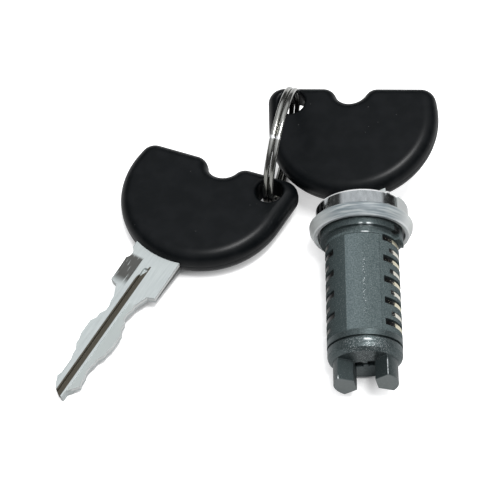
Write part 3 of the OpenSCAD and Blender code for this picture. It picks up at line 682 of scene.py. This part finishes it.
bow = lofted([[(*(point + bow_middle.to_2d()), height) for point in bow_outline(inset)]
              for inset, height in bow_levels()])
bpy.context.scene.collection.objects.link(bow)
lip_turns = [math.pi / 2 * i / lip_steps for i in range(lip_steps + 1)]
lip = [(hole_radius + hole_lip * (1 - math.cos(a)), bow_thick / 2 - hole_lip * (1 - math.sin(a)))
       for a in lip_turns]
lip.append((lip[-1][0], bow_thick))
drill_turns = [2 * math.pi * i / lip_sides for i in range(lip_sides)]
drill = lofted([[(ring_hole.x + radius * math.cos(a), ring_hole.y + radius * math.sin(a), height)
                 for a in drill_turns]
                for radius, height in [(r, -h) for r, h in reversed(lip)] + lip])
cut_by(bow, drill)
right_side = [(shank_half, shank_front), (shank_half, tang_step),
              (tang_half, tang_step), (tang_half, tang_end)]
tang = right_side + [(-x, y) for x, y in reversed(right_side)]
cut_by(bow, lofted([[(x, y, z) for x, y in tang] for z in (-tang_depth, tang_depth)]))

black, black_tree, black_shader = finish("bow_plastic", (0.0085, 0.0092, 0.0105), 0.36)
black_shader.inputs["Specular IOR Level"].default_value = 0.14
black_where = black_tree.nodes.new("ShaderNodeTexCoord").outputs["Object"]
black_mottle = grainy(black_tree, black_shader, black_where, 2800.0, 0.000010)
black_colour = mixed(black_tree, step(black_tree, black_mottle, 0.35, 0.7),
                     (0.0022, 0.0030, 0.0036), (0.0042, 0.0050, 0.0058))
black_dust = product(black_tree, spots(black_tree, black_where, 420.0, 0.028), 0.5)
black_colour = mixed(black_tree, black_dust, black_colour, (0.20, 0.20, 0.20))
black_tree.links.new(black_colour, black_shader.inputs["Base Color"])

for bow_name, bow_frame, carrier in (("key_bow", lock_frame, "key"), ("spare_key_bow", spare_frame, "spare")):
    piece = bpy.data.objects.new("moulded_" + bow_name, bow.data.copy())
    piece.data.transform(bow_frame)
    piece.data.shade_smooth()
    piece.data.set_sharp_from_angle(angle=math.radians(35))
    piece.data.materials.clear()
    piece.data.materials.append(black)
    bpy.context.scene.collection.objects.link(piece)
    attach(piece, carrier)
    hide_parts(bow_name)
bpy.data.objects.remove(bow)


# The split ring
# Two coils of nickelled wire side by side, which cross over where the wire's two ends stop, on the ring's far
# side. The wire's section is swept along the path that its points give.
ring_radius = 12.4 * MM
wire_thick = 1.2 * MM
wire_wide = 1.1 * MM
coil_gap = 0.12 * MM
wire_round = 0.40 * MM
cross_half = math.radians(15)
end_half = math.radians(12)
ring_heading = math.radians(194)
ring_split = math.radians(330)
ring_steps = 360

ring_metal, ring_tree, ring_shader = finish("ring_metal", (0.40, 0.40, 0.375), 0.20, 1.0)
ring_way = Vector((math.sin(ring_heading), math.cos(ring_heading), 0))
key_hole_at = Vector(joints["ring_swing"]["pos_m"])
ring_drop = ring_radius + wire_thick / 2 - key_hole_at.z
ring_sag = 0.3 * MM
ring_middle = (key_hole_at + math.sqrt((ring_radius - ring_sag) ** 2 - ring_drop ** 2) * ring_way
               + Vector((0, 0, ring_drop)))
ring_frame = (Matrix.Translation(ring_middle) @ Matrix.Rotation(-ring_heading, 4, "Z")
              @ Matrix.Rotation(math.pi / 2, 4, "Y") @ Matrix.Rotation(ring_split, 4, "Z"))

# Fine lines along the wire, darker towards the spare key, and one painted highlight
ring_where = local_coordinates(ring_tree, ring_frame)
ring_x, ring_y, ring_z = parts_of(ring_tree, ring_where)
ring_angle = maths(ring_tree, "ARCTAN2", ring_y, product(ring_tree, ring_x, -1.0))
ring_along = add(ring_tree, "CombineXYZ")
ring_tree.links.new(product(ring_tree, ring_angle, 3.0), ring_along.inputs[0])
ring_tree.links.new(product(ring_tree, ring_z, 5200.0), ring_along.inputs[1])
ring_lines = add(ring_tree, "TexNoise", Scale=1.0, Detail=2.0)
ring_tree.links.new(ring_along.outputs[0], ring_lines.inputs["Vector"])
ring_colour = mixed(ring_tree, step(ring_tree, ring_lines.outputs["Fac"], 0.35, 0.65), (0.29, 0.29, 0.27),
                    (0.56, 0.56, 0.53))
ring_shade = step(ring_tree, ring_angle, -0.1, 0.7, 0.0, 0.5)
ring_colour = mixed(ring_tree, ring_shade, ring_colour, (0.16, 0.16, 0.145))
# Painted highlight across both coils
ring_glint = band(ring_tree, ring_angle, -0.02, 0.03, 0.015)
ring_colour = mixed(ring_tree, ring_glint, ring_colour, (1.0, 1.0, 1.0))
ring_tree.links.new(ring_colour, ring_shader.inputs["Base Color"])

ring_lift = (wire_wide + coil_gap) / 2
path_points = []
for i in range(ring_steps + 1):
    turn = end_half + (4 * math.pi - 2 * end_half) * i / ring_steps
    across = max(-1.0, min(1.0, (turn - 2 * math.pi) / cross_half))
    rise = ring_lift * math.sin(math.pi / 2 * across)
    path_points.append((ring_radius * math.cos(turn), ring_radius * math.sin(turn), rise))
path_mesh = bpy.data.meshes.new("ring_path")
path_mesh.from_pydata(path_points, [(i, i + 1) for i in range(ring_steps)], [])
path = bpy.data.objects.new("ring_path", path_mesh)
bpy.context.scene.collection.objects.link(path)

sweep = bpy.data.node_groups.new("swept_wire", "GeometryNodeTree")
sweep.interface.new_socket("Geometry", in_out="INPUT", socket_type="NodeSocketGeometry")
sweep_values = {"Width": wire_wide, "Thickness": wire_thick, "Round": wire_round}
for socket, value in sweep_values.items():
    sweep.interface.new_socket(socket, in_out="INPUT", socket_type="NodeSocketFloat").default_value = value
wire_socket = sweep.interface.new_socket("Wire", in_out="INPUT", socket_type="NodeSocketMaterial")
wire_socket.default_value = ring_metal
sweep.interface.new_socket("Geometry", in_out="OUTPUT", socket_type="NodeSocketGeometry")
sweep_in = sweep.nodes.new("NodeGroupInput")
sweep_out = sweep.nodes.new("NodeGroupOutput")
to_curve = sweep.nodes.new("GeometryNodeMeshToCurve")
upright = sweep.nodes.new("GeometryNodeSetCurveNormal")
upright.mode = "Z_UP"
section = sweep.nodes.new("GeometryNodeCurvePrimitiveQuadrilateral")
rounded = sweep.nodes.new("GeometryNodeFilletCurve")
rounded.mode = "POLY"
rounded.inputs["Count"].default_value = 4
swept = sweep.nodes.new("GeometryNodeCurveToMesh")
swept.inputs["Fill Caps"].default_value = True
realised = sweep.nodes.new("GeometryNodeRealizeInstances")
coated = sweep.nodes.new("GeometryNodeSetMaterial")
sweep.links.new(sweep_in.outputs["Geometry"], to_curve.inputs["Mesh"])
sweep.links.new(to_curve.outputs["Curve"], upright.inputs["Curve"])
sweep.links.new(sweep_in.outputs["Thickness"], section.inputs["Width"])
sweep.links.new(sweep_in.outputs["Width"], section.inputs["Height"])
sweep.links.new(section.outputs["Curve"], rounded.inputs["Curve"])
sweep.links.new(sweep_in.outputs["Round"], rounded.inputs["Radius"])
sweep.links.new(upright.outputs["Curve"], swept.inputs["Curve"])
sweep.links.new(rounded.outputs["Curve"], swept.inputs["Profile Curve"])
sweep.links.new(swept.outputs["Mesh"], realised.inputs["Geometry"])
sweep.links.new(realised.outputs["Geometry"], coated.inputs["Geometry"])
sweep.links.new(sweep_in.outputs["Wire"], coated.inputs["Material"])
sweep.links.new(coated.outputs["Geometry"], sweep_out.inputs["Geometry"])
path.modifiers.new("swept_wire", "NODES").node_group = sweep
bpy.context.view_layer.update()
ring_mesh = bpy.data.meshes.new_from_object(path.evaluated_get(bpy.context.evaluated_depsgraph_get()))
bpy.data.objects.remove(path)
ring_mesh.transform(ring_frame)
ring_mesh.shade_smooth()
ring_mesh.set_sharp_from_angle(angle=math.radians(50))
ring = bpy.data.objects.new("coiled_ring", ring_mesh)
bpy.context.scene.collection.objects.link(ring)
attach(ring, "ring")
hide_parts("split_ring")
